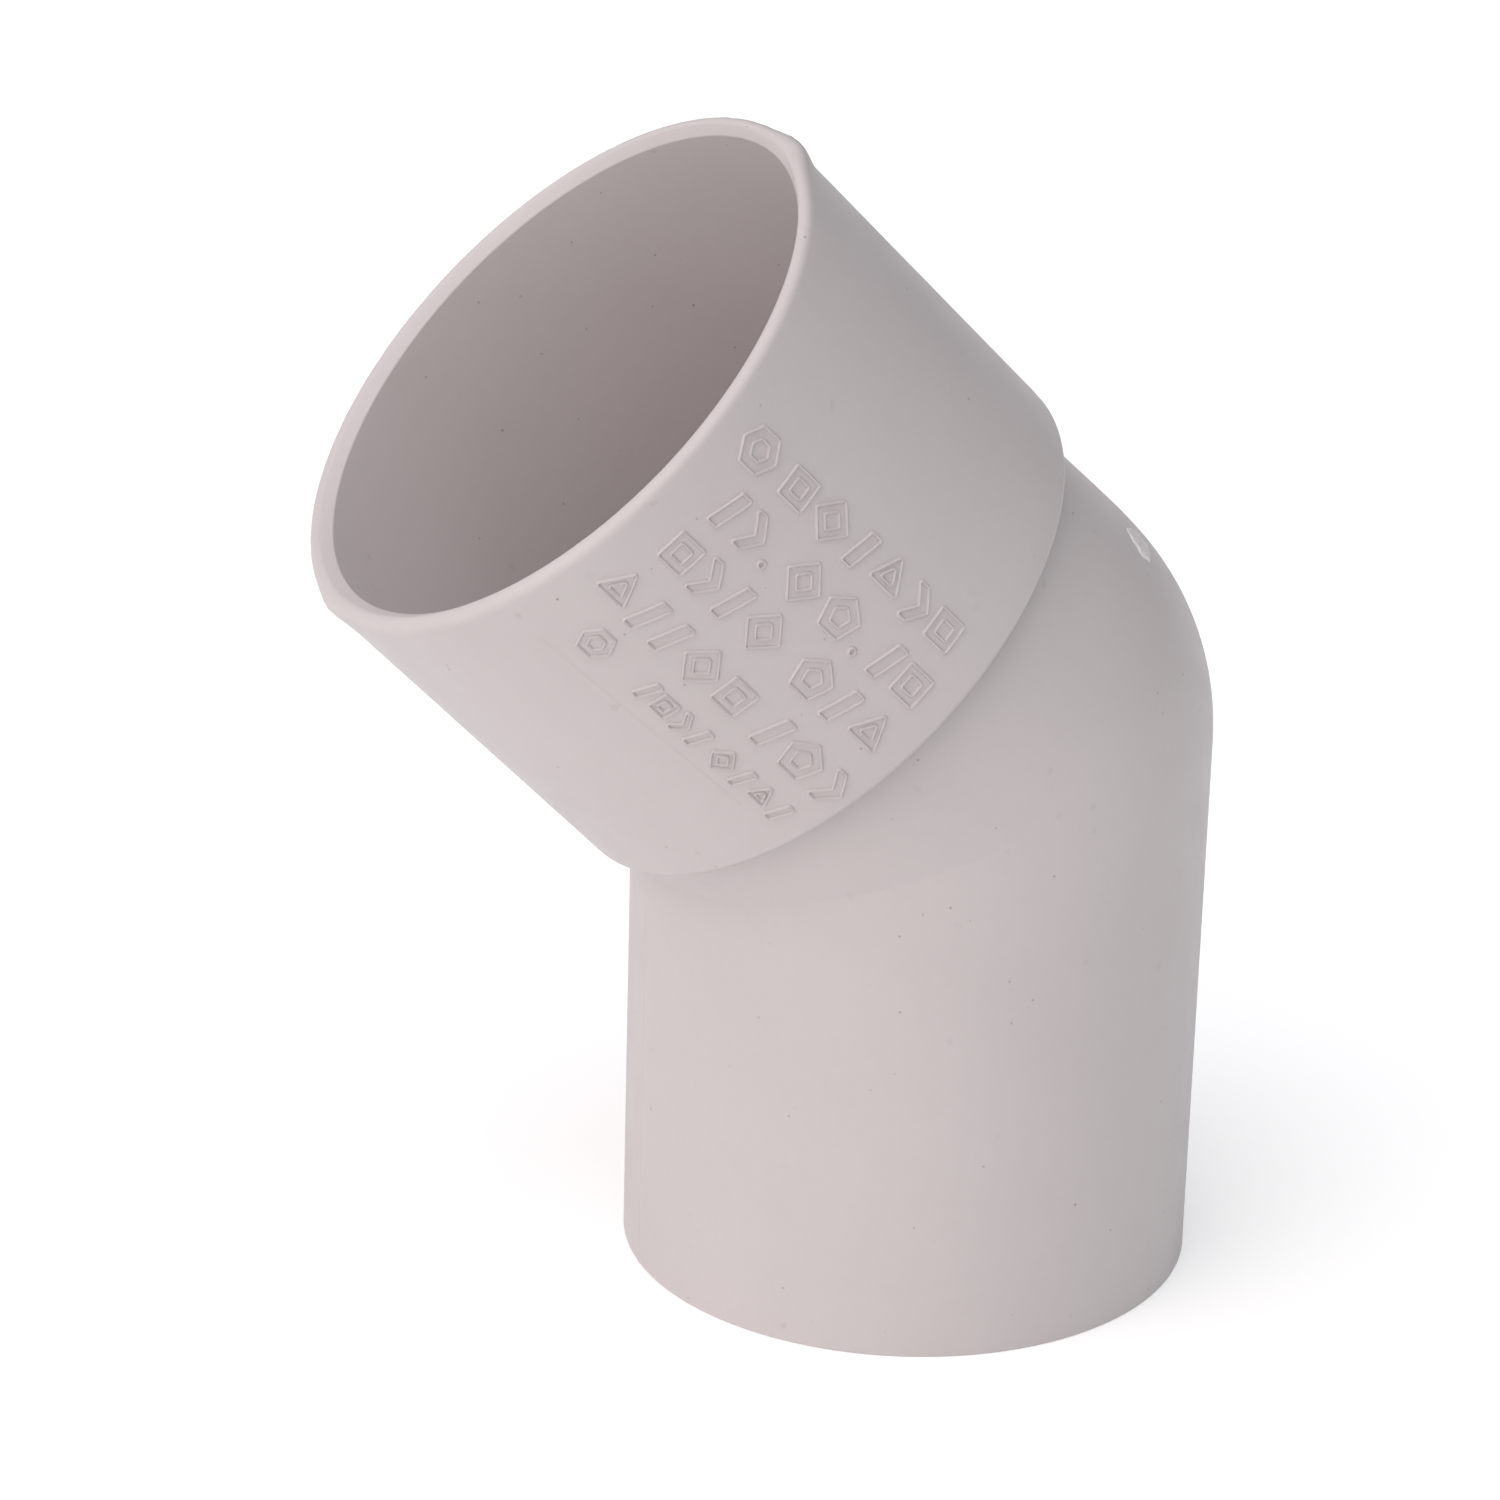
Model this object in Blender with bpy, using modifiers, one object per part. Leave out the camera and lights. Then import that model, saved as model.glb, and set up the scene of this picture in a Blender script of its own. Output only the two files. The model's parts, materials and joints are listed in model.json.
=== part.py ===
"""A grey uPVC drain bend, size DN40: plain spigot below, solvent-cement socket above.

The fitting is one injection moulding. It is modelled here as its five zones, each a
closed solid: the spigot, the bend body, the socket shoulder with the pipe stop, the
socket barrel and the socket rim. Neighbouring zones are a hair's breadth apart.

Units are metres and +Z is up. The fitting stands on its spigot end at Z = 0. The socket
leans towards -X, and the origin is under the middle of the bounding box.
"""

import math

import bmesh
import bpy
from mathutils import Matrix, Vector

MM = 0.001

# The bend.
PIPE_DIAMETER = 42.95 * MM
BEND_ANGLE = math.radians(43.5)
SPIGOT_END_TO_CENTRE = 42.0 * MM
HEEL_RADIUS = 21.65 * MM
NECK_RADIUS = 21.35 * MM
WALL = 2.2 * MM

# The socket, measured along its own axis from the centre of the bend.
SHOULDER_TO_CENTRE = 12.7 * MM
STOP_TO_CENTRE = 15.0 * MM
MOUTH_TO_CENTRE = 43.0 * MM
BARREL_ROOT_RADIUS = 23.25 * MM
MOUTH_RADIUS = 23.45 * MM
SHOULDER_ROUND = 0.5 * MM
SOCKET_ROOT_BORE = 21.5 * MM
SOCKET_MOUTH_BORE = 21.72 * MM
RIM_HEIGHT = 4.0 * MM
RIM_ROUND = 0.75 * MM
LEAD_IN = 0.5 * MM
LEAD_IN_DEPTH = 0.9 * MM

# The pipe stop's ledge stands a little above the foot of the barrel's wall, clear of it.
STOP_RISE = 0.5 * MM
STOP_CLEARANCE = 0.3 * MM

# The spigot is as long as a socket is deep.
SPIGOT_LENGTH = MOUTH_TO_CENTRE - STOP_TO_CENTRE
SPIGOT_END_BEVEL = 0.1 * MM

ZONE_GAP = 0.3 * MM
SEGMENTS = 60
ARC_POINTS = 5
DOME_POINTS = 12
MERGE = 0.00001
SHARP_ANGLE = math.radians(25)

SPIGOT_RADIUS = PIPE_DIAMETER / 2
BORE_RADIUS = SPIGOT_RADIUS - WALL
HEEL_BORE_RADIUS = HEEL_RADIUS - WALL
NECK_BORE_RADIUS = NECK_RADIUS - WALL
NECK_END = SHOULDER_TO_CENTRE - ZONE_GAP
SHOULDER_TOP = STOP_TO_CENTRE - STOP_RISE
BARREL_ROOT = SHOULDER_TOP + ZONE_GAP
BARREL_TOP = MOUTH_TO_CENTRE - RIM_HEIGHT
RIM_ROOT = BARREL_TOP + ZONE_GAP
OVERRUN = 2 * MM

# The box of the fitting runs from the heel to the round edge on the mouth's lowest side.
RIM_CROWN_ALONG = MOUTH_TO_CENTRE - RIM_ROUND
RIM_CROWN_ACROSS = MOUTH_RADIUS - RIM_ROUND
RIM_CROWN_REACH = RIM_CROWN_ALONG * math.sin(BEND_ANGLE) + RIM_CROWN_ACROSS * math.cos(BEND_ANGLE)
SPIGOT_AXIS_X = (RIM_CROWN_REACH + RIM_ROUND - HEEL_RADIUS) / 2
BEND_CENTRE = Vector((SPIGOT_AXIS_X, 0, SPIGOT_END_TO_CENTRE))

# The inclined frame is turned by half a segment, so its edges miss those of the upright one.
UPRIGHT = Matrix.Translation((SPIGOT_AXIS_X, 0, 0))
HALF_SEGMENT = Matrix.Rotation(math.pi / SEGMENTS, 4, "Z")
LEAN = Matrix.Rotation(-BEND_ANGLE, 4, "Y")
INCLINED = Matrix.Translation(BEND_CENTRE) @ LEAN @ HALF_SEGMENT

PVC_COLOUR = (0.56, 0.53, 0.525, 1)
PVC_ROUGHNESS = 0.42


def clear_scene():
    for obj in list(bpy.data.objects):
        bpy.data.objects.remove(obj)
    for collection in list(bpy.data.collections):
        bpy.data.collections.remove(collection)


def new_collection(name):
    collection = bpy.data.collections.new(name)
    bpy.context.scene.collection.children.link(collection)
    return collection


def grey_upvc(name):
    material = bpy.data.materials.new(name)
    material.use_nodes = True
    shader = material.node_tree.nodes["Principled BSDF"]
    shader.inputs["Base Color"].default_value = PVC_COLOUR
    shader.inputs["Roughness"].default_value = PVC_ROUGHNESS
    shader.inputs["Metallic"].default_value = 0
    material.diffuse_color = PVC_COLOUR
    return material


def arc(centre, radius, start, end, count):
    """Points on an arc in the (radius, height) plane, both ends included."""
    step = (end - start) / count
    angles = [start + step * i for i in range(count + 1)]
    return [(centre[0] + radius * math.cos(a), centre[1] + radius * math.sin(a)) for a in angles]


def turned(name, profile, frame, collection, ring=True):
    """A solid of revolution about the frame's Z axis. The profile runs down its outer
    side; a ring's profile closes on itself, any other starts and ends on the axis."""
    mesh = bpy.data.meshes.new(name)
    edges = [(i, i + 1) for i in range(len(profile) - 1)]
    if ring:
        edges.append((len(profile) - 1, 0))
    mesh.from_pydata([(r, 0, z) for r, z in profile], edges, [])
    obj = bpy.data.objects.new(name, mesh)
    collection.objects.link(obj)
    screw = obj.modifiers.new("Turn", "SCREW")
    screw.axis = "Z"
    screw.steps = SEGMENTS
    screw.render_steps = SEGMENTS
    screw.use_merge_vertices = True
    screw.merge_threshold = MERGE
    obj.matrix_world = frame
    return obj


def space_below(name, level, collection):
    """A block that fills the space under a level."""
    size = 4 * SPIGOT_END_TO_CENTRE
    mesh = bpy.data.meshes.new(name)
    block = bmesh.new()
    bmesh.ops.create_cube(block, size=size)
    block.to_mesh(mesh)
    block.free()
    obj = bpy.data.objects.new(name, mesh)
    collection.objects.link(obj)
    obj.location.z = level - size / 2
    return obj


def combine(obj, operation, other):
    boolean = obj.modifiers.new(f"{operation.title()} {other.name}", "BOOLEAN")
    boolean.operation = operation
    boolean.solver = "MANIFOLD"
    boolean.object = other


def hide_helpers(collection):
    for obj in collection.objects:
        obj.hide_render = True
        obj.display_type = "WIRE"


def finish_zone(obj):
    """Turns the zone's modifiers into its mesh, shades it and gives it its plastic."""
    graph = bpy.context.evaluated_depsgraph_get()
    mesh = bpy.data.meshes.new_from_object(obj.evaluated_get(graph))
    obj.modifiers.clear()
    obj.data = mesh
    mesh.shade_smooth()
    mesh.set_sharp_from_angle(angle=SHARP_ANGLE)
    mesh.materials.clear()
    mesh.materials.append(grey_upvc(f"{obj.name}_upvc"))


def outer_radius(height):
    """The socket's outside radius at a height on its axis: it widens towards the mouth."""
    along = (height - SHOULDER_TO_CENTRE) / (MOUTH_TO_CENTRE - SHOULDER_TO_CENTRE)
    return BARREL_ROOT_RADIUS + along * (MOUTH_RADIUS - BARREL_ROOT_RADIUS)


def inner_radius(height):
    """The socket's bore at a height on its axis: it narrows towards the pipe stop."""
    along = (height - STOP_TO_CENTRE) / (MOUTH_TO_CENTRE - STOP_TO_CENTRE)
    return SOCKET_ROOT_BORE + along * (SOCKET_MOUTH_BORE - SOCKET_ROOT_BORE)


def domed_rod(name, end_radius, dome_radius, bottom, collection):
    """The spigot's run as a solid rod that ends in a half ball on the centre of the bend."""
    dome = arc((0, SPIGOT_END_TO_CENTRE), dome_radius, math.pi / 2, 0, DOME_POINTS)
    dome[0] = (0, SPIGOT_END_TO_CENTRE + dome_radius)
    profile = [*dome, (end_radius, bottom), (0, bottom)]
    return turned(name, profile, UPRIGHT, collection, ring=False)


def straight_rod(name, radius, top, collection):
    """The socket's run as a solid rod that starts on the centre of the bend."""
    profile = [(0, top), (radius, top), (radius, 0), (0, 0)]
    return turned(name, profile, INCLINED, collection, ring=False)


def make_spigot(collection):
    top = SPIGOT_LENGTH
    grown = SPIGOT_RADIUS + (HEEL_RADIUS - SPIGOT_RADIUS) * top / SPIGOT_END_TO_CENTRE
    profile = [
        (grown, top),
        (SPIGOT_RADIUS, SPIGOT_END_BEVEL),
        (SPIGOT_RADIUS - SPIGOT_END_BEVEL, 0),
        (BORE_RADIUS, 0),
        (BORE_RADIUS, top),
    ]
    return turned("spigot", profile, UPRIGHT, collection)


def make_bend_body(collection, helpers):
    """The spigot's run, rounded by a ball at the heel, and the neck that leaves it."""
    bend = domed_rod("bend_body", SPIGOT_RADIUS, HEEL_RADIUS, 0, collection)
    neck = straight_rod("neck_rod", NECK_RADIUS, NECK_END, helpers)
    spigot_bore = domed_rod("spigot_bore", BORE_RADIUS, HEEL_BORE_RADIUS, -OVERRUN, helpers)
    neck_bore = straight_rod("neck_bore", NECK_BORE_RADIUS, HEEL_RADIUS + OVERRUN, helpers)
    spigot_space = space_below("spigot_space", SPIGOT_LENGTH + ZONE_GAP, helpers)
    combine(spigot_bore, "UNION", neck_bore)
    combine(bend, "UNION", neck)
    combine(bend, "DIFFERENCE", spigot_bore)
    combine(bend, "DIFFERENCE", spigot_space)
    return bend


def make_socket_shoulder(collection):
    """The step from the neck to the barrel, with the ledge that stops the pipe."""
    nose = SOCKET_ROOT_BORE - STOP_CLEARANCE
    foot = SHOULDER_TO_CENTRE
    crown = (BARREL_ROOT_RADIUS - SHOULDER_ROUND, foot + SHOULDER_ROUND)
    profile = [
        (nose, STOP_TO_CENTRE),
        (nose, SHOULDER_TOP),
        (outer_radius(SHOULDER_TOP), SHOULDER_TOP),
        *arc(crown, SHOULDER_ROUND, 0, -math.pi / 2, ARC_POINTS),
        (NECK_BORE_RADIUS, foot),
        (NECK_BORE_RADIUS, STOP_TO_CENTRE),
    ]
    return turned("socket_shoulder", profile, INCLINED, collection)


def make_socket_barrel(collection):
    profile = [
        (outer_radius(BARREL_TOP), BARREL_TOP),
        (outer_radius(BARREL_ROOT), BARREL_ROOT),
        (SOCKET_ROOT_BORE, BARREL_ROOT),
        (SOCKET_ROOT_BORE, STOP_TO_CENTRE),
        (inner_radius(BARREL_TOP), BARREL_TOP),
    ]
    return turned("socket_barrel", profile, INCLINED, collection)


def make_socket_rim(collection):
    """The last few millimetres of the socket: round outside, chamfered inside."""
    crown = (RIM_CROWN_ACROSS, RIM_CROWN_ALONG)
    profile = [
        (SOCKET_MOUTH_BORE + LEAD_IN, MOUTH_TO_CENTRE),
        *arc(crown, RIM_ROUND, math.pi / 2, 0, ARC_POINTS),
        (outer_radius(RIM_ROOT), RIM_ROOT),
        (inner_radius(RIM_ROOT), RIM_ROOT),
        (SOCKET_MOUTH_BORE, MOUTH_TO_CENTRE - LEAD_IN_DEPTH),
    ]
    return turned("socket_rim", profile, INCLINED, collection)


def main():
    clear_scene()
    fitting = new_collection("drain_bend")
    helpers = new_collection("helpers")
    zones = [
        make_spigot(fitting),
        make_bend_body(fitting, helpers),
        make_socket_shoulder(fitting),
        make_socket_barrel(fitting),
        make_socket_rim(fitting),
    ]
    bpy.context.view_layer.update()
    for zone in zones:
        finish_zone(zone)
    hide_helpers(helpers)


main()
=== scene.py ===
"""The looks of a grey uPVC drain bend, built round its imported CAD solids.

The real fitting is one moulding. Its five zones are fine meshes that meet face to face,
so they read as one piece: the spigot, the bend body, the socket shoulder, the socket
barrel and the socket rim. Each stands for the CAD node of the same name. Three small
pieces are moulded on it: a raised marking that spells nothing, the fine line that an
insert in the mould left, and the scar of the gate.

Units are metres and +Z is up, in the frame of the CAD.
"""

import json
import math

import bmesh
import bpy
import numpy as np
from mathutils import Matrix, Vector


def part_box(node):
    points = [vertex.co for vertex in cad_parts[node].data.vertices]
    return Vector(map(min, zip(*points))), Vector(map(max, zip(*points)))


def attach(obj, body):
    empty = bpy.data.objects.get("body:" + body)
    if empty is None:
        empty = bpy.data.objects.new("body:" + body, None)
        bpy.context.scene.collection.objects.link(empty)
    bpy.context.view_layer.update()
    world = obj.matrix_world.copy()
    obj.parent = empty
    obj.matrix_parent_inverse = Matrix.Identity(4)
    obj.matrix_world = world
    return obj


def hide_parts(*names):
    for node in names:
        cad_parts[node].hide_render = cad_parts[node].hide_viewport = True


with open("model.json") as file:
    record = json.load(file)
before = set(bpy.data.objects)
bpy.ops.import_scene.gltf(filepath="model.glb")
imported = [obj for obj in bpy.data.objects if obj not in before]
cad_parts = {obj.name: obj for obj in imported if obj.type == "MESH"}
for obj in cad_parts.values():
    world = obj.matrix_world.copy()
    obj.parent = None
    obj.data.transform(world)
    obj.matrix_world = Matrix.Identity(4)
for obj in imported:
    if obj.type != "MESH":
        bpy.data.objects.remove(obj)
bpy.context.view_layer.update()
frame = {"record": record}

MM = 0.001

# The moulding. Heights in the socket run along its axis from the centre of the bend.
SPIGOT_RADIUS = 21.475 * MM
HEEL_RADIUS = 21.65 * MM
NECK_RADIUS = 21.35 * MM
WALL = 2.2 * MM
SHOULDER = 12.7 * MM
MOUTH = 43.0 * MM
BARREL_ROOT_RADIUS = 23.25 * MM
MOUTH_RADIUS = 23.45 * MM
SOCKET_ROOT_BORE = 21.5 * MM
SOCKET_MOUTH_BORE = 21.72 * MM
RIM_HEIGHT = 3.85 * MM
LIP_RADIUS = 22.45 * MM
LEAD_IN_DEPTH = 0.75 * MM

# Radii of the small roundings that a moulding has at its edges.
RIM_ROUND = 0.78 * MM
LIP_ROUND = 0.5 * MM
LEAD_IN_ROUND = 0.25 * MM
SHOULDER_ROUND = 0.45 * MM
STOP_ROUND = 0.2 * MM
THROAT_FILLET = 0.35 * MM
SPIGOT_EDGE_ROUND = 0.12 * MM

# The mould's parting line, a faint ridge in the plane of symmetry.
PARTING_HEIGHT = 0.035 * MM
PARTING_WIDTH = 0.13 * MM

# Where that line meets the mouth, it leaves a lump: (azimuth in degrees, height, half width).
RIM_LUMPS = ((-4, 0.5 * MM, 3.0 * MM), (180, 0.22 * MM, 2.4 * MM))
LUMP_DEPTH = 0.9 * MM
LUMP_HALF_DEPTH = 1.2 * MM

# The socket's core sits off centre at the mouth, towards the heel, so the wall there is thinner.
CORE_SHIFT = 0.28 * MM

# Nicks and burrs that handling and the mould's edge left round the rim, and its slight waver.
# Depths run from the deepest nick to the highest burr.
NICK_SEED = 11
NICK_COUNT = 46
NICK_DEPTHS = (-0.06 * MM, 0.036 * MM)
NICK_WIDTHS = (0.096 * MM, 0.352 * MM)
WEAR_DEPTH = 0.9 * MM
WAVER_HEIGHT = 0.036 * MM
WAVER_HARMONICS = (7, 13, 22, 37)

# How finely the meshes are divided.
EVEN_ANGLES = 180
RIM_ANGLES = 1440
RIM_SIDE_RINGS = 8
PARTING_ANGLES = (0.2, 0.4, 0.7, 1.1)
ARC_STEPS = 8
BEND_STEPS = 24
RUN_STEPS = 14
NEARLY_STRAIGHT = math.radians(89.9)
SHARP_EDGE = math.radians(30)

# Where the zones come from: the axes of the spigot and of the socket, as packed.
mounts = {mount["name"]: mount for mount in frame["record"]["mounts"]}
spigot_low, spigot_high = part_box("spigot")
SPIGOT_X = (spigot_low.x + spigot_high.x) / 2
SOCKET_AXIS = Vector(mounts["socket_mouth"]["axis"]).normalized()
mouth_point = Vector(mounts["socket_mouth"]["pos_m"])
stop_point = Vector(mounts["pipe_stop"]["pos_m"])
BEND_ANGLE = math.atan2(-SOCKET_AXIS.x, SOCKET_AXIS.z)
BEND_Z = mouth_point.z - (mouth_point.x - SPIGOT_X) * SOCKET_AXIS.z / SOCKET_AXIS.x
BEND_CENTRE = Vector((SPIGOT_X, 0, BEND_Z))
STOP = (stop_point - BEND_CENTRE).dot(SOCKET_AXIS)
SPIGOT_TOP = (spigot_high.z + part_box("bend_body")[0].z) / 2

# The spigot's run widens evenly up to the heel, and this is its radius where the zones meet.
SPIGOT_TOP_RADIUS = SPIGOT_RADIUS + (HEEL_RADIUS - SPIGOT_RADIUS) * SPIGOT_TOP / BEND_Z

UPRIGHT = Matrix.Translation((SPIGOT_X, 0, 0))
INCLINED = Matrix.Translation(BEND_CENTRE) @ Matrix.Rotation(-BEND_ANGLE, 4, "Y")


def ring_angles(count):
    """Even steps round an axis, with finer ones beside the two parting lines."""
    angles = {2 * math.pi * i / count for i in range(count)}
    for line in (0, math.pi):
        for offset in PARTING_ANGLES:
            angles.add((line + math.radians(offset)) % (2 * math.pi))
            angles.add((line - math.radians(offset)) % (2 * math.pi))
    return np.array(sorted(angles))


ANGLES = ring_angles(EVEN_ANGLES)


def parting_ridge(radius, angles):
    """How far the parting line stands out at each of a ring's angles."""
    from_line = np.abs(np.sin(angles)) * radius
    return PARTING_HEIGHT * np.exp(-((from_line / PARTING_WIDTH) ** 2))


def apart(angles, centre):
    """Signed angles from the centre, within half a turn of it."""
    return (angles - centre + math.pi) % (2 * math.pi) - math.pi


def rim_lumps(angles):
    """How far the lumps at the parting line lift the rim's outer edge at each angle."""
    lift = np.zeros(len(angles))
    for azimuth, height, half_width in RIM_LUMPS:
        away = apart(angles, math.radians(azimuth)) * MOUTH_RADIUS
        lift += height * np.exp(-((away / half_width) ** 2))
    return lift


def rim_wear(angles):
    """How far the rim's outer edge stands out (burrs) or falls in (nicks) at each angle."""
    random = np.random.default_rng(NICK_SEED)
    wear = np.zeros(len(angles))
    for harmonic in WAVER_HARMONICS:
        phase = random.uniform(0, 2 * math.pi)
        wear += WAVER_HEIGHT / harmonic * np.sin(harmonic * angles + phase)
    for _ in range(NICK_COUNT):
        centre = random.uniform(0, 2 * math.pi)
        depth = random.uniform(*NICK_DEPTHS)
        width = random.uniform(*NICK_WIDTHS) / MOUTH_RADIUS
        wear += depth * np.exp(-((apart(angles, centre) / width) ** 2))
    return wear


def rounded(corners):
    """A closed outline of (x, y, rounding) corners as points, each corner cut by its arc."""
    points = []
    for index, (x, y, radius) in enumerate(corners):
        corner = Vector((x, y))
        back = (Vector(corners[index - 1][:2]) - corner).normalized()
        ahead = (Vector(corners[(index + 1) % len(corners)][:2]) - corner).normalized()
        half = back.angle(ahead) / 2
        if radius == 0 or half > NEARLY_STRAIGHT:
            points.append((x, y))
            continue
        centre = corner + (back + ahead).normalized() * radius / math.sin(half)
        start = corner + back * radius / math.tan(half) - centre
        turn = start.angle_signed(corner + ahead * radius / math.tan(half) - centre)
        for step in range(ARC_STEPS + 1):
            spoke = Matrix.Rotation(-turn * step / ARC_STEPS, 2) @ start
            points.append(tuple(centre + spoke))
    return points


def mesh_object(name, points, faces):
    """An object from points and faces. The faces of a closed mesh are turned to point out."""
    mesh = bpy.data.meshes.new(name)
    mesh.from_pydata([tuple(point) for point in points], [], faces)
    shell = bmesh.new()
    shell.from_mesh(mesh)
    bmesh.ops.recalc_face_normals(shell, faces=shell.faces)
    shell.to_mesh(mesh)
    shell.free()
    obj = bpy.data.objects.new(name, mesh)
    bpy.context.scene.collection.objects.link(obj)
    return obj


def strip_faces(rows, columns, start=0):
    """Quads over a grid of points that closes on itself both ways."""
    faces = []
    for row in range(rows):
        here = start + row * columns
        ahead = start + (row + 1) % rows * columns
        for column in range(columns):
            beside = (column + 1) % columns
            faces.append((here + column, ahead + column, ahead + beside, here + beside))
    return faces


def ring_solid(name, rings):
    """A closed ring-shaped solid from rings of points that run round its section."""
    obj = mesh_object(name, np.concatenate(rings), strip_faces(len(rings), len(rings[0])))
    obj.data.shade_smooth()
    obj.data.set_sharp_from_angle(angle=SHARP_EDGE)
    return obj


def placed(points, matrix):
    """The points, moved from an upright axis at the origin to their place on the fitting."""
    turn = np.array(matrix.to_3x3())
    return points @ turn.T + np.array(matrix.translation)


def ring(radius, height, angles):
    """A ring of points about Z. The radius and the height may vary from point to point."""
    level = np.broadcast_to(height, angles.shape)
    return np.stack([radius * np.cos(angles), radius * np.sin(angles), level], axis=1)


def core_shift(height):
    """How far the bore's centre is off the socket's axis, at a height in the socket."""
    return CORE_SHIFT * (height - STOP) / (MOUTH - STOP)


def turned(name, corners, matrix, ridge_from, off_centre=False):
    """A turned zone. Points wider than ridge_from are outside and carry the parting line.

    The others are in the bore, which follows the core where that is off centre.
    """
    rings = []
    for radius, height in rounded(corners):
        if radius > ridge_from:
            points = ring(radius + parting_ridge(radius, ANGLES), height, ANGLES)
        else:
            points = ring(radius, height, ANGLES)
            points[:, 0] += core_shift(height) if off_centre else 0
        rings.append(placed(points, matrix))
    return ring_solid(name, rings)


def outer_radius(height):
    """The barrel's outside, which widens evenly from the shoulder to the mouth."""
    along = (height - SHOULDER) / (MOUTH - SHOULDER)
    return BARREL_ROOT_RADIUS + along * (MOUTH_RADIUS - BARREL_ROOT_RADIUS)


def inner_radius(height):
    """The barrel's bore, which widens evenly from the pipe stop to the mouth."""
    along = (height - STOP) / (MOUTH - STOP)
    return SOCKET_ROOT_BORE + along * (SOCKET_MOUTH_BORE - SOCKET_ROOT_BORE)


def make_spigot():
    bore = SPIGOT_RADIUS - WALL
    corners = [
        (SPIGOT_TOP_RADIUS, SPIGOT_TOP, 0),
        (SPIGOT_TOP_RADIUS - WALL, SPIGOT_TOP, 0),
        (bore, 0, SPIGOT_EDGE_ROUND),
        (SPIGOT_RADIUS, 0, SPIGOT_EDGE_ROUND),
    ]
    return turned("spigot_zone", corners, UPRIGHT, SPIGOT_RADIUS - WALL / 2)


def bend_rings(end_radius, heel_radius, neck_radius, ridge):
    """Rings of points along the bend, from the spigot zone up to the step.

    Each angle has its own path: up the spigot's run, round a corner and along the neck.
    At the heel the corner is a ball on the centre of the bend. In the throat it is a small
    fillet along the line where the two runs meet.
    """
    half_tan = math.tan(BEND_ANGLE / 2)
    across = np.cos(ANGLES)
    corner_round = np.maximum(heel_radius * across, THROAT_FILLET)
    corner_z = heel_radius * across * half_tan
    run_end = corner_z - corner_round * half_tan
    neck_start = -corner_z + corner_round * half_tan
    stand_out = 1 + ridge / heel_radius
    rings = []
    for share in np.linspace(0, 1, RUN_STEPS):
        height = (SPIGOT_TOP - BEND_Z) + share * (run_end - (SPIGOT_TOP - BEND_Z))
        radius = (end_radius + share * (heel_radius - end_radius)) * stand_out
        rings.append(ring(radius, height, ANGLES))
    for turned_by in np.linspace(0, BEND_ANGLE, BEND_STEPS)[1:]:
        inward = heel_radius * across - corner_round
        x = inward + corner_round * math.cos(turned_by)
        z = run_end + corner_round * math.sin(turned_by)
        rings.append(np.stack([x * stand_out, heel_radius * np.sin(ANGLES) * stand_out, z], axis=1))
    turn = np.array(Matrix.Rotation(-BEND_ANGLE, 3, "Y"))
    for share in np.linspace(0, 1, RUN_STEPS)[1:]:
        height = neck_start + share * (SHOULDER - neck_start)
        eased = share * share * (3 - 2 * share)
        radius = (heel_radius + eased * (neck_radius - heel_radius)) * stand_out
        rings.append(ring(radius, height, ANGLES) @ turn.T)
    return [points + np.array(BEND_CENTRE) for points in rings]


def make_bend_body():
    ridge = parting_ridge(HEEL_RADIUS, ANGLES)
    outside = bend_rings(SPIGOT_TOP_RADIUS, HEEL_RADIUS, NECK_RADIUS, ridge)
    inside = bend_rings(SPIGOT_TOP_RADIUS - WALL, HEEL_RADIUS - WALL, NECK_RADIUS - WALL, 0)
    return ring_solid("bend_body_zone", [*reversed(outside), *inside])


def make_socket_shoulder():
    """The step, with the ledge inside that stops the pipe."""
    neck_bore = NECK_RADIUS - WALL
    corners = [
        (outer_radius(STOP), STOP, 0),
        (SOCKET_ROOT_BORE, STOP, 0),
        (neck_bore, STOP, STOP_ROUND),
        (neck_bore, SHOULDER, 0),
        (BARREL_ROOT_RADIUS, SHOULDER, SHOULDER_ROUND),
    ]
    return turned("socket_shoulder_zone", corners, INCLINED, BARREL_ROOT_RADIUS - SHOULDER_ROUND)


def make_socket_barrel():
    top = MOUTH - RIM_HEIGHT
    corners = [
        (outer_radius(top), top, 0),
        (inner_radius(top), top, 0),
        (SOCKET_ROOT_BORE, STOP, 0),
        (outer_radius(STOP), STOP, 0),
    ]
    middle = (SOCKET_MOUTH_BORE + MOUTH_RADIUS) / 2
    return turned("socket_barrel_zone", corners, INCLINED, middle, off_centre=True)


def make_socket_rim():
    """The mouth's rim, worn and lumpy on its outer edge and smooth in its bore."""
    root = MOUTH - RIM_HEIGHT
    side = np.linspace(root, MOUTH - RIM_ROUND, RIM_SIDE_RINGS + 1)[:-1]
    corners = [
        (MOUTH_RADIUS, MOUTH, RIM_ROUND),
        (LIP_RADIUS, MOUTH, LIP_ROUND),
        (SOCKET_MOUTH_BORE, MOUTH - LEAD_IN_DEPTH, LEAD_IN_ROUND),
        (inner_radius(root), root, 0),
        *((outer_radius(height), height, 0) for height in side),
    ]
    angles = ring_angles(RIM_ANGLES)
    lumps, wear = rim_lumps(angles), rim_wear(angles)
    rings = []
    for radius, height in rounded(corners):
        depth = MOUTH - height
        outward = min(1, max(0, (radius - SOCKET_MOUTH_BORE) / (MOUTH_RADIUS - SOCKET_MOUTH_BORE)))
        reach = math.exp(-(((depth - LUMP_DEPTH) / LUMP_HALF_DEPTH) ** 2))
        uneven = lumps * reach + wear * math.exp(-((depth / WEAR_DEPTH) ** 2))
        stand_out = (parting_ridge(radius, angles) + uneven) * outward
        points = ring(radius + stand_out, height, angles)
        points[:, 0] += core_shift(height) * (1 - outward)
        rings.append(placed(points, INCLINED))
    return ring_solid("socket_rim_zone", rings)


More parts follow.
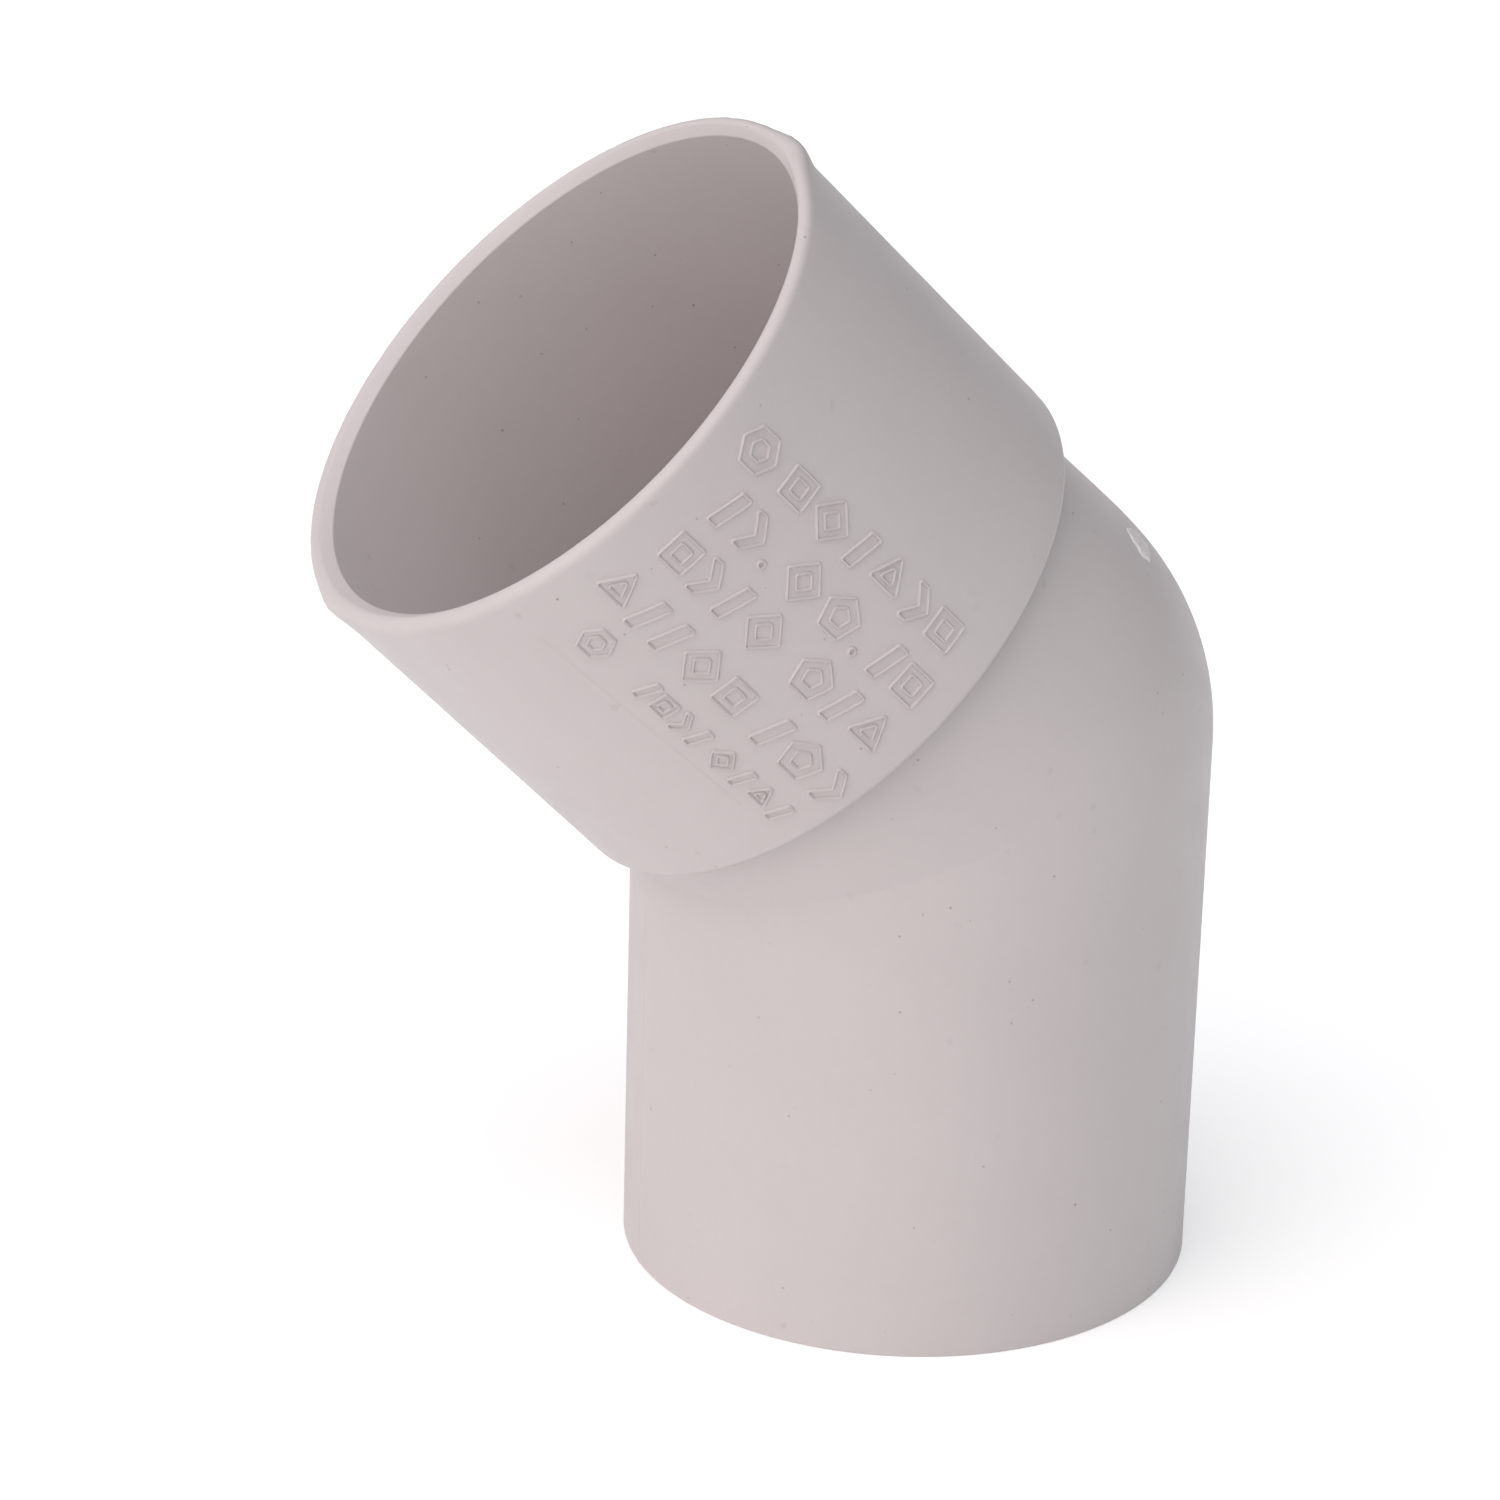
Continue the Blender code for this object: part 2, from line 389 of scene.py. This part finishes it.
# The raised marking: rows of plain outlined shapes that run down the barrel from the mouth.
# Each line of a shape is a low ridge whose foot is just under the barrel's surface.
MARK_HEIGHT = 0.2 * MM
MARK_HALF_WIDTH = 0.15 * MM
MARK_FOOT = 0.01 * MM
MARK_SINK = 0.3 * MM
MARK_STEP = 0.3 * MM
RIDGE_OFFSETS = (-1, -0.66, -0.33, 0, 0.33, 0.66, 1)
SHAPE_HEIGHT = 3.0 * MM
DEVICE_HEIGHT = 2.4 * MM
SMALL_SHAPE_HEIGHT = 1.98 * MM
SHAPE_ROUND = 0.16 * MM

# Rows as (azimuth in degrees, height in the socket where they start, shape height, kinds).
ROWS = (
    (
        -74,
        40.3 * MM,
        SHAPE_HEIGHT,
        ("hexagon", "gap", "square", "lozenge", "slab", "triangle", "chevron", "square"),
    ),
    (
        -85,
        38.3 * MM,
        SHAPE_HEIGHT,
        ("slab", "chevron", "dot", "gap", "lozenge", "pentagon", "dot", "gap", "slab", "square"),
    ),
    (
        -96,
        38.9 * MM,
        SHAPE_HEIGHT,
        ("square", "chevron", "slab", "lozenge", "gap", "gap", "pentagon", "slab", "triangle"),
    ),
    (
        -108,
        40.2 * MM,
        SHAPE_HEIGHT,
        ("triangle", "slab", "slab", "lozenge", "square", "gap", "gap", "slab", "pentagon", "chevron"),
    ),
    (
        -118.5,
        37.4 * MM,
        DEVICE_HEIGHT,
        ("hexagon",),
    ),
    (
        -118.5,
        31.0 * MM,
        SMALL_SHAPE_HEIGHT,
        ("slab", "square", "chevron", "slab", "gap", "lozenge", "slab", "triangle", "slab"),
    ),
)

# Shapes as (number of sides, turn of the first corner in degrees), or as corners. Their sizes
# are shares of the row's height.
POLYGONS = {
    "triangle": (3, 90),
    "square": (4, 45),
    "lozenge": (4, 0),
    "pentagon": (5, 90),
    "hexagon": (6, 0),
}
DRAWN = {
    "slab": ((0, 0), (0.34, 0), (0.62, 1), (0.28, 1)),
    "chevron": ((0, 0), (0.32, 0), (0.72, 0.5), (0.32, 1), (0, 1), (0.4, 0.5)),
}
POLYGON_RADIUS = 0.58
CORE_RADIUS = 0.48 * POLYGON_RADIUS
DOT_RADIUS = 0.1
DOT_SIDES = 6
DOT_DROP = 0.4
SHAPE_GAP = 0.7 / 3


def regular(sides, turn, radius):
    """Corners of a regular polygon round the origin."""
    corners = []
    for index in range(sides):
        angle = math.radians(turn) + 2 * math.pi * index / sides
        corners.append((radius * math.cos(angle), radius * math.sin(angle)))
    return corners


def shape_outlines(kind, height):
    """The width of a shape and its outlines, as corners centred on the row's line."""
    if kind in DRAWN:
        corners = [(x * height, (y - 0.5) * height) for x, y in DRAWN[kind]]
        return max(x for x, y in corners), [corners]
    if kind == "dot":
        outlines = [[(x, y - DOT_DROP * height) for x, y in regular(DOT_SIDES, 0, DOT_RADIUS * height)]]
    else:
        radii = (POLYGON_RADIUS * height, CORE_RADIUS * height)
        outlines = [regular(*POLYGONS[kind], radius) for radius in radii]
    left = min(x for x, y in outlines[0])
    outlines = [[(x - left, y) for x, y in corners] for corners in outlines]
    return max(x for x, y in outlines[0]), outlines


def row_outlines(kinds, height):
    """Every outline of a row, as (distance from its start, height) corners."""
    outlines = []
    along = 0.0
    for kind in kinds:
        if kind != "gap":
            width, parts = shape_outlines(kind, height)
            for part in parts:
                outlines.append([(x + along, y, SHAPE_ROUND) for x, y in part])
            along += width
        along += SHAPE_GAP * height
    return outlines


def densified(points):
    """The closed outline with its straight runs cut short enough to follow the barrel."""
    dense = []
    for index, point in enumerate(points):
        here = np.array(point)
        ahead = np.array(points[(index + 1) % len(points)])
        steps = max(1, math.ceil(np.linalg.norm(ahead - here) / MARK_STEP))
        dense.extend(here + (ahead - here) * step / steps for step in range(steps))
    return np.array(dense)


def ridge_rings(path, start, azimuth, lift):
    """Rings round the section of a low ridge that follows a closed path on the barrel."""
    ahead = np.roll(path, -1, axis=0) - np.roll(path, 1, axis=0)
    ahead /= np.linalg.norm(ahead, axis=1, keepdims=True)
    side = np.stack([-ahead[:, 1], ahead[:, 0]], axis=1)
    section = [(offset, lift * math.cos(offset * math.pi / 2) ** 2 - MARK_FOOT) for offset in RIDGE_OFFSETS]
    section.append((0, -MARK_SINK))
    rings = []
    for offset, rise in section:
        flat = path + side * offset * MARK_HALF_WIDTH
        height = start - flat[:, 0]
        radius = outer_radius(height) + rise
        rings.append(placed(ring(radius, height, azimuth + flat[:, 1] / MOUTH_RADIUS), INCLINED))
    return rings


def raised_lines(name, lines, lift):
    """One piece from many closed lines, each with its start and azimuth on the barrel."""
    points, faces = [], []
    for corners, start, azimuth in lines:
        rings = ridge_rings(densified(rounded(corners)), start, azimuth, lift)
        faces += strip_faces(len(rings), len(rings[0]), len(points))
        points += [point for section in rings for point in section]
    obj = mesh_object(name, points, faces)
    obj.data.shade_smooth()
    return obj


def make_marking():
    lines = []
    for azimuth, start, height, kinds in ROWS:
        for corners in row_outlines(kinds, height):
            lines.append((corners, start, math.radians(azimuth)))
    return raised_lines("raised_marking", lines, MARK_HEIGHT)


# The edge of the mould's insert: a fine line beside the marking, nearly along the barrel.
INSERT_START = 38.5 * MM
INSERT_LENGTH = 20.6 * MM
INSERT_AZIMUTH = -126
INSERT_LEAN = 1.2 * MM
INSERT_WIDTH = 0.1 * MM
INSERT_HEIGHT = 0.045 * MM


def make_insert_line():
    corners = [
        (0, 0, 0),
        (INSERT_LENGTH, INSERT_LEAN, 0),
        (INSERT_LENGTH, INSERT_LEAN + INSERT_WIDTH, 0),
        (0, INSERT_WIDTH, 0),
    ]
    line = (corners, INSERT_START, math.radians(INSERT_AZIMUTH))
    return raised_lines("insert_line", [line], INSERT_HEIGHT)


# The gate's scar, a rough oval patch on the heel just above the bend's centre. Its edge is
# ragged by waves of (height as a share of the radius, number round the edge, phase).
SCAR_PLACE = 1.2 * MM
SCAR_AZIMUTH = math.radians(-16)
SCAR_HALF_LENGTH = 1.4 * MM
SCAR_HALF_WIDTH = 1.7 * MM
SCAR_WAVES = ((0.1, 3, 1), (0.06, 8, 0))
SCAR_HEIGHT = 0.1 * MM
SCAR_ROUGHNESS = 0.06 * MM
SCAR_FOOT = 0.02 * MM
SCAR_SINK = 0.3 * MM
SCAR_HUB = 0.004
SCAR_RINGS = 9
SCAR_SPOKES = 48
SCAR_SEED = 5


def make_gate_scar():
    random = np.random.default_rng(SCAR_SEED)
    spokes = np.arange(SCAR_SPOKES) * 2 * math.pi / SCAR_SPOKES
    ragged = 1 + sum(share * np.sin(count * spokes + phase) for share, count, phase in SCAR_WAVES)
    shares = [*np.linspace(SCAR_HUB, 1, SCAR_RINGS), 0.5, SCAR_HUB]
    lifts = [SCAR_HEIGHT] * (SCAR_RINGS - 1) + [-SCAR_FOOT, -SCAR_SINK, -SCAR_SINK]
    rings = []
    for share, lift in zip(shares, lifts):
        height = SCAR_PLACE + SCAR_HALF_LENGTH * share * ragged * np.cos(spokes)
        azimuth = SCAR_AZIMUTH + SCAR_HALF_WIDTH / HEEL_RADIUS * share * ragged * np.sin(spokes)
        on_top = lift == SCAR_HEIGHT
        rough = random.uniform(-SCAR_ROUGHNESS, SCAR_ROUGHNESS, SCAR_SPOKES) if on_top else 0
        rings.append(placed(ring(HEEL_RADIUS + lift + rough, height, azimuth), INCLINED))
    obj = mesh_object("gate_scar", np.concatenate(rings), strip_faces(len(rings), SCAR_SPOKES))
    obj.data.shade_smooth()
    return obj


# Colours are linear.
PVC_LIGHT = (0.6, 0.55, 0.548, 1)
PVC_DARK = (0.575, 0.526, 0.524, 1)
GRAIN_DARK = (0.3, 0.28, 0.28, 1)
SPECK = (0.16, 0.14, 0.13, 1)
SCAR_LIGHT = (0.92, 0.89, 0.89, 1)
SCAR_DARK = (0.76, 0.72, 0.72, 1)
PVC_ROUGHNESS = (0.36, 0.46)
PVC_IOR = 1.53

# Noise in the plastic, as scales per metre: its colour, its sheen and its relief.
CLOUD_SCALE = 55.0
GRAIN_SCALE = 1400.0
SHEEN_SCALE = 260.0
RIPPLE_SCALE = 190.0
PEEL_SCALE = 2600.0
GRAIN_STRENGTH = 0.035
PEEL_SHARE = 0.12
RELIEF_STRENGTH = 0.35
RELIEF_HEIGHT = 0.03 * MM

# Marks on it as (cell, radius, share of the cells that have one). Smudges are strayed specks.
SPECKS = (1.6 * MM, 0.13 * MM, 0.32)
SPECK_STRENGTH = 0.65
SMUDGES = (3.6 * MM, 0.42 * MM, 0.4)
SMUDGE_STRENGTH = 0.13
STRAY_SCALE = 900.0
STRAY = 1.2 * MM


class Nodes:
    """The node tree of a material or world, with short calls that add a node and link it."""

    def __init__(self, owner):
        owner.use_nodes = True
        self.tree = owner.node_tree

    def add(self, kind, inputs=None, **settings):
        node = self.tree.nodes.new(kind)
        for key, value in settings.items():
            setattr(node, key, value)
        for key, value in (inputs or {}).items():
            self.feed(value, node.inputs[key])
        return node

    def feed(self, value, socket):
        if isinstance(value, bpy.types.NodeSocket):
            self.tree.links.new(value, socket)
        else:
            socket.default_value = value

    def noise(self, where, scale, detail=2.0, output="Fac"):
        inputs = {"Vector": where, "Scale": scale, "Detail": detail}
        return self.add("ShaderNodeTexNoise", inputs).outputs[output]

    def between(self, value, low, high, to_low=0.0, to_high=1.0):
        inputs = {0: value, 1: low, 2: high, 3: to_low, 4: to_high}
        return self.add("ShaderNodeMapRange", inputs, clamp=True).outputs[0]

    def math(self, operation, first, second):
        return self.add("ShaderNodeMath", {0: first, 1: second}, operation=operation).outputs[0]

    def vector(self, operation, output, *inputs):
        node = self.add("ShaderNodeVectorMath", dict(enumerate(inputs)), operation=operation)
        return node.outputs[output]

    def mix(self, factor, first, second):
        node = self.add("ShaderNodeMix", data_type="RGBA")
        self.feed(factor, node.inputs[0])
        self.feed(first, node.inputs[6])
        self.feed(second, node.inputs[7])
        return node.outputs[2]


def specks(nodes, where, cell, radius, share):
    """A mask of small round specks: one in some of the cells of a Voronoi pattern."""
    voronoi = nodes.add("ShaderNodeTexVoronoi", {"Vector": where, "Scale": 1 / cell})
    near = nodes.between(voronoi.outputs["Distance"], radius / cell, 0.6 * radius / cell)
    pick = nodes.add("ShaderNodeSeparateColor", {"Color": voronoi.outputs["Color"]})
    chosen = nodes.math("LESS_THAN", pick.outputs[0], share)
    strength = nodes.between(pick.outputs[1], 0.0, 1.0, 0.25, 1.0)
    return nodes.math("MULTIPLY", nodes.math("MULTIPLY", near, chosen), strength)


def upvc_colour(nodes, where, light, dark):
    """Faint clouds and grain, with soft smudges and small dark specks on them."""
    cloud = nodes.between(nodes.noise(where, CLOUD_SCALE, 3.0), 0.3, 0.7)
    grain = nodes.between(nodes.noise(where, GRAIN_SCALE), 0.25, 0.75, 0.0, GRAIN_STRENGTH)
    grained = nodes.mix(grain, nodes.mix(cloud, dark, light), GRAIN_DARK)
    wander = nodes.noise(where, STRAY_SCALE, output="Color")
    astray = nodes.vector("MULTIPLY_ADD", "Vector", wander, (STRAY, STRAY, STRAY), where)
    smudges = nodes.math("MULTIPLY", specks(nodes, astray, *SMUDGES), SMUDGE_STRENGTH)
    dots = nodes.math("MULTIPLY", specks(nodes, where, *SPECKS), SPECK_STRENGTH)
    return nodes.mix(dots, nodes.mix(smudges, grained, SPECK), SPECK)


def upvc_relief(nodes, where):
    """The slight ripple and orange peel of a moulded surface, as a bumped normal."""
    peel = nodes.math("MULTIPLY", nodes.noise(where, PEEL_SCALE), PEEL_SHARE)
    relief = nodes.math("ADD", peel, nodes.noise(where, RIPPLE_SCALE))
    inputs = {"Strength": RELIEF_STRENGTH, "Distance": RELIEF_HEIGHT, "Height": relief}
    return nodes.add("ShaderNodeBump", inputs).outputs["Normal"]


def grey_upvc(name, light=PVC_LIGHT, dark=PVC_DARK):
    material = bpy.data.materials.new(name)
    nodes = Nodes(material)
    shader = nodes.tree.nodes["Principled BSDF"]
    where = nodes.add("ShaderNodeTexCoord").outputs["Object"]
    sheen = nodes.between(nodes.noise(where, SHEEN_SCALE, 4.0), 0.3, 0.7, *PVC_ROUGHNESS)
    nodes.feed(upvc_colour(nodes, where, light, dark), shader.inputs["Base Color"])
    nodes.feed(sheen, shader.inputs["Roughness"])
    nodes.feed(upvc_relief(nodes, where), shader.inputs["Normal"])
    nodes.feed(PVC_IOR, shader.inputs["IOR"])
    return material


def paint(piece, material):
    piece.data.materials.clear()
    piece.data.materials.append(material)


def make_fitting():
    zones = {
        "spigot": make_spigot(),
        "bend_body": make_bend_body(),
        "socket_shoulder": make_socket_shoulder(),
        "socket_barrel": make_socket_barrel(),
        "socket_rim": make_socket_rim(),
    }
    for node, piece in zones.items():
        paint(piece, grey_upvc(f"{node}_upvc_look"))
        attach(piece, "root")
        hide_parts(node)
    moulded_on = (
        (make_marking(), "socket_barrel", PVC_LIGHT, PVC_DARK),
        (make_insert_line(), "socket_barrel", PVC_LIGHT, PVC_DARK),
        (make_gate_scar(), "bend_body", SCAR_LIGHT, SCAR_DARK),
    )
    for piece, node, light, dark in moulded_on:
        paint(piece, grey_upvc(f"{piece.name}_look", light, dark))
        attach(piece, "root")


def towards(azimuth, elevation):
    """A unit vector. Azimuth 0 is on the -Y side and 90 is on the +X side, in degrees."""
    level = math.cos(math.radians(elevation))
    east, north = math.sin(math.radians(azimuth)), -math.cos(math.radians(azimuth))
    return Vector((east * level, north * level, math.sin(math.radians(elevation))))


# The camera looks from the photograph's side, at a point a little off the bend's centre.
# A least-squares fit to the photograph's outlines gave its numbers.
CAMERA_AZIMUTH = -20.16
CAMERA_ELEVATION = 23.37
CAMERA_ROLL = math.radians(1.70)
CAMERA_DISTANCE = 552.0 * MM
CAMERA_LENS = 177.55
CAMERA_SENSOR = 36
CAMERA_AIM = Vector((-12.36, 3.54, -2.19)) * MM


def make_camera():
    back = towards(CAMERA_AZIMUTH, CAMERA_ELEVATION)
    data = bpy.data.cameras.new("camera")
    data.sensor_width = CAMERA_SENSOR
    data.lens = CAMERA_LENS
    data.clip_start = 10 * MM
    camera = bpy.data.objects.new("camera", data)
    bpy.context.scene.collection.objects.link(camera)
    camera.rotation_mode = "QUATERNION"
    roll = Matrix.Rotation(CAMERA_ROLL, 3, "Z").to_quaternion()
    camera.rotation_quaternion = (-back).to_track_quat("-Z", "Y") @ roll
    camera.location = BEND_CENTRE + CAMERA_AIM + back * CAMERA_DISTANCE
    bpy.context.scene.camera = camera


# The pale floor glows a little, and more where the camera sees it, so it stays white.
FLOOR_REACH = 3.0
FLOOR_COLOUR = (0.92, 0.92, 0.92, 1)
FLOOR_ROUGHNESS = 0.9
FLOOR_GLOW = 0.1
FLOOR_GLOW_SEEN = 0.27


def make_floor():
    corners = [
        (-FLOOR_REACH, -FLOOR_REACH, 0),
        (FLOOR_REACH, -FLOOR_REACH, 0),
        (FLOOR_REACH, FLOOR_REACH, 0),
        (-FLOOR_REACH, FLOOR_REACH, 0),
    ]
    floor = mesh_object("floor", corners, [(0, 1, 2, 3)])
    material = bpy.data.materials.new("pale_floor")
    nodes = Nodes(material)
    shader = nodes.tree.nodes["Principled BSDF"]
    shader.inputs["Base Color"].default_value = FLOOR_COLOUR
    shader.inputs["Roughness"].default_value = FLOOR_ROUGHNESS
    shader.inputs["Emission Color"].default_value = (1, 1, 1, 1)
    seen = nodes.add("ShaderNodeLightPath").outputs["Is Camera Ray"]
    glow = nodes.between(seen, 0.0, 1.0, FLOOR_GLOW, FLOOR_GLOW_SEEN)
    nodes.feed(glow, shader.inputs["Emission Strength"])
    paint(floor, material)


# The key light, a soft square on the left that faces the fitting.
KEY_AZIMUTH = -80
KEY_ELEVATION = 30
KEY_DISTANCE = 0.9
KEY_SIZE = 0.7
KEY_POWER = 0.5


def make_key_light():
    direction = towards(KEY_AZIMUTH, KEY_ELEVATION)
    data = bpy.data.lights.new("key", "AREA")
    data.shape = "SQUARE"
    data.size = KEY_SIZE
    data.energy = KEY_POWER
    light = bpy.data.objects.new("key", data)
    bpy.context.scene.collection.objects.link(light)
    light.location = BEND_CENTRE + direction * KEY_DISTANCE
    light.rotation_mode = "QUATERNION"
    light.rotation_quaternion = (-direction).to_track_quat("-Z", "Y")


# The studio's soft surroundings: lobes of light as (azimuth, elevation, colour times gain).
# A least-squares fit to the photograph's colours gave these colours. They weren't set by hand.
SURROUND_LOBES = (
    (-20, 40, (0.58, 0.57, 0.54)),
    (-70, 8, (0.88, 0.79, 0.77)),
    (-70, 40, (0.75, 0.7, 0.72)),
    (-115, 8, (0.19, 0.24, 0.24)),
    (-160, 25, (0.5, 0.48, 0.47)),
    (50, 40, (0.31, 0.37, 0.4)),
    (0, 90, (1.1, 1.07, 1.11)),
)
LOBE_EDGE = math.cos(math.radians(53))


def make_world():
    """Plain white where the camera sees it. It lights the fitting more from the left."""
    world = bpy.data.worlds.new("studio")
    nodes = Nodes(world)
    direction = nodes.add("ShaderNodeTexCoord").outputs["Generated"]
    total = (0, 0, 0)
    for azimuth, elevation, colour in SURROUND_LOBES:
        facing = nodes.vector("DOT_PRODUCT", "Value", direction, towards(azimuth, elevation))
        inputs = {"Value": facing, "From Min": LOBE_EDGE}
        lobe = nodes.add("ShaderNodeMapRange", inputs, interpolation_type="SMOOTHSTEP")
        total = nodes.vector("MULTIPLY_ADD", "Vector", lobe.outputs["Result"], colour, total)
    seen = nodes.add("ShaderNodeLightPath").outputs["Is Camera Ray"]
    shown = nodes.mix(seen, total, (1, 1, 1, 1))
    nodes.feed(shown, nodes.tree.nodes["Background"].inputs["Color"])
    bpy.context.scene.world = world


def make_studio():
    make_floor()
    make_world()
    make_key_light()
    bpy.context.scene.view_settings.view_transform = "Standard"


make_fitting()
make_camera()
make_studio()

bpy.context.view_layer.update()
